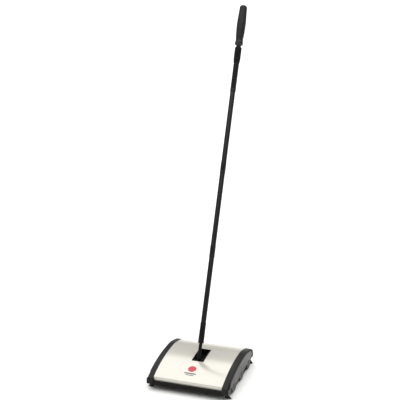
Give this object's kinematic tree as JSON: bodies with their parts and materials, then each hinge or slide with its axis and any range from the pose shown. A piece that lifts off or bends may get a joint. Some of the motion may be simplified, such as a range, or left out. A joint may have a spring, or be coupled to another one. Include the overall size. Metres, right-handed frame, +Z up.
{
  "type": "carpet sweeper",
  "caption": "Manual carpet sweeper with a low crowned head, wheel-driven brush rolls, tip-out dirt pans, corner brushes and a long jointed handle on a pivot.",
  "frame": {"origin": "on the floor, under the middle of the whole sweeper from its front bumper to the top of the leaning handle, on the left-right centre line", "axes": "+X to the sweeper's right as seen from the front, +Y to the back, the way the handle leans, +Z up"},
  "size_m": [0.2496, 0.5365, 1.0351],
  "materials": {
    "cover_silver": "satin pearl-silver paint on pressed steel sheet",
    "rail_black": "fine-textured moulded black",
    "panel_grey": "satin dark grey moulding",
    "moulded_black": "moulded black",
    "bumper_rubber": "soft black strip",
    "bristle_black": "nylon bristle",
    "zinc_steel": "bright zinc-plated steel",
    "bush_nylon": "natural nylon",
    "tyre_rubber": "matt rubber",
    "core_plastic": "moulded black",
    "tube_black": "semi-gloss black enamel on steel tube",
    "grip_black": "fine-textured black grip"
  },
  "bodies": {
    "head": {"cover": "cover_silver", "chassis": "moulded_black", "left_rail": "rail_black", "right_rail": "rail_black", "left_side_panel": "panel_grey", "right_side_panel": "panel_grey", "front_bumper": "bumper_rubber", "rear_bumper": "bumper_rubber", "handle_socket": "moulded_black", "pivot_pin": "zinc_steel", "pin_clips": "zinc_steel", "corner_brush_plugs": "moulded_black", "front_left_tuft": "bristle_black", "front_right_tuft": "bristle_black", "rear_left_tuft": "bristle_black", "rear_right_tuft": "bristle_black", "wheel_axles": "zinc_steel", "brush_bushes": "bush_nylon", "end_cap_screws": "zinc_steel", "front_pan_rod": "zinc_steel", "rear_pan_rod": "zinc_steel", "front_pan_springs": "zinc_steel", "rear_pan_springs": "zinc_steel"},
    "handle": {"stem": "moulded_black", "ferrule": "moulded_black", "lower_tube": "tube_black", "lower_middle_tube": "tube_black", "upper_middle_tube": "tube_black", "upper_tube": "tube_black", "grip_sleeve": "moulded_black", "grip": "grip_black", "grip_cap": "grip_black"},
    "front_pan": {"front_dirt_pan": "moulded_black"},
    "rear_pan": {"rear_dirt_pan": "moulded_black"},
    "front_brush": {"front_brush_core": "core_plastic", "front_brush_bristles": "bristle_black", "front_brush_drums": "tyre_rubber"},
    "rear_brush": {"rear_brush_core": "core_plastic", "rear_brush_bristles": "bristle_black", "rear_brush_drums": "tyre_rubber"},
    "front_left_wheel": {"front_left_hub": "moulded_black", "front_left_tyre": "tyre_rubber"},
    "front_right_wheel": {"front_right_hub": "moulded_black", "front_right_tyre": "tyre_rubber"},
    "middle_left_wheel": {"middle_left_hub": "moulded_black", "middle_left_tyre": "tyre_rubber"},
    "middle_right_wheel": {"middle_right_hub": "moulded_black", "middle_right_tyre": "tyre_rubber"},
    "rear_left_wheel": {"rear_left_hub": "moulded_black", "rear_left_tyre": "tyre_rubber"},
    "rear_right_wheel": {"rear_right_hub": "moulded_black", "rear_right_tyre": "tyre_rubber"}
  },
  "joints": [
    {"name": "handle_pivot", "type": "hinge", "parent": "head", "child": "handle", "pos_m": [0, -0.1661, 0.057], "axis": [-1, 0, 0], "range_deg": [-23, 45]},
    {"name": "front_pan_hinge", "type": "hinge", "parent": "head", "child": "front_pan", "pos_m": [0, -0.2475, 0.012], "axis": [-1, 0, 0], "range_deg": [0, 60], "stiffness_Nm_per_rad": 0.05, "springref_deg": -57.3},
    {"name": "rear_pan_hinge", "type": "hinge", "parent": "head", "child": "rear_pan", "pos_m": [0, -0.0185, 0.012], "axis": [1, 0, 0], "range_deg": [0, 60], "stiffness_Nm_per_rad": 0.05, "springref_deg": -57.3},
    {"name": "front_brush_spin", "type": "hinge", "parent": "head", "child": "front_brush", "pos_m": [0, -0.168, 0.0223], "axis": [1, 0, 0], "continuous": true},
    {"name": "rear_brush_spin", "type": "hinge", "parent": "head", "child": "rear_brush", "pos_m": [0, -0.093, 0.0223], "axis": [1, 0, 0], "continuous": true},
    {"name": "front_left_wheel_spin", "type": "hinge", "parent": "head", "child": "front_left_wheel", "pos_m": [0, -0.2055, 0.02], "axis": [1, 0, 0], "continuous": true},
    {"name": "front_right_wheel_spin", "type": "hinge", "parent": "head", "child": "front_right_wheel", "pos_m": [0, -0.2055, 0.02], "axis": [1, 0, 0], "continuous": true},
    {"name": "middle_left_wheel_spin", "type": "hinge", "parent": "head", "child": "middle_left_wheel", "pos_m": [0, -0.1305, 0.02], "axis": [1, 0, 0], "continuous": true},
    {"name": "middle_right_wheel_spin", "type": "hinge", "parent": "head", "child": "middle_right_wheel", "pos_m": [0, -0.1305, 0.02], "axis": [1, 0, 0], "continuous": true},
    {"name": "rear_left_wheel_spin", "type": "hinge", "parent": "head", "child": "rear_left_wheel", "pos_m": [0, -0.0555, 0.02], "axis": [1, 0, 0], "continuous": true},
    {"name": "rear_right_wheel_spin", "type": "hinge", "parent": "head", "child": "rear_right_wheel", "pos_m": [0, -0.0555, 0.02], "axis": [1, 0, 0], "continuous": true}
  ],
  "couplings": [
    {"joint": "rear_brush_spin", "follows": "front_brush_spin", "ratio": 1},
    {"joint": "front_left_wheel_spin", "follows": "front_brush_spin", "ratio": -0.87102},
    {"joint": "front_right_wheel_spin", "follows": "front_brush_spin", "ratio": -0.87102},
    {"joint": "middle_left_wheel_spin", "follows": "front_brush_spin", "ratio": -0.87102},
    {"joint": "middle_right_wheel_spin", "follows": "front_brush_spin", "ratio": -0.87102},
    {"joint": "rear_left_wheel_spin", "follows": "front_brush_spin", "ratio": -0.87102},
    {"joint": "rear_right_wheel_spin", "follows": "front_brush_spin", "ratio": -0.87102}
  ]
}
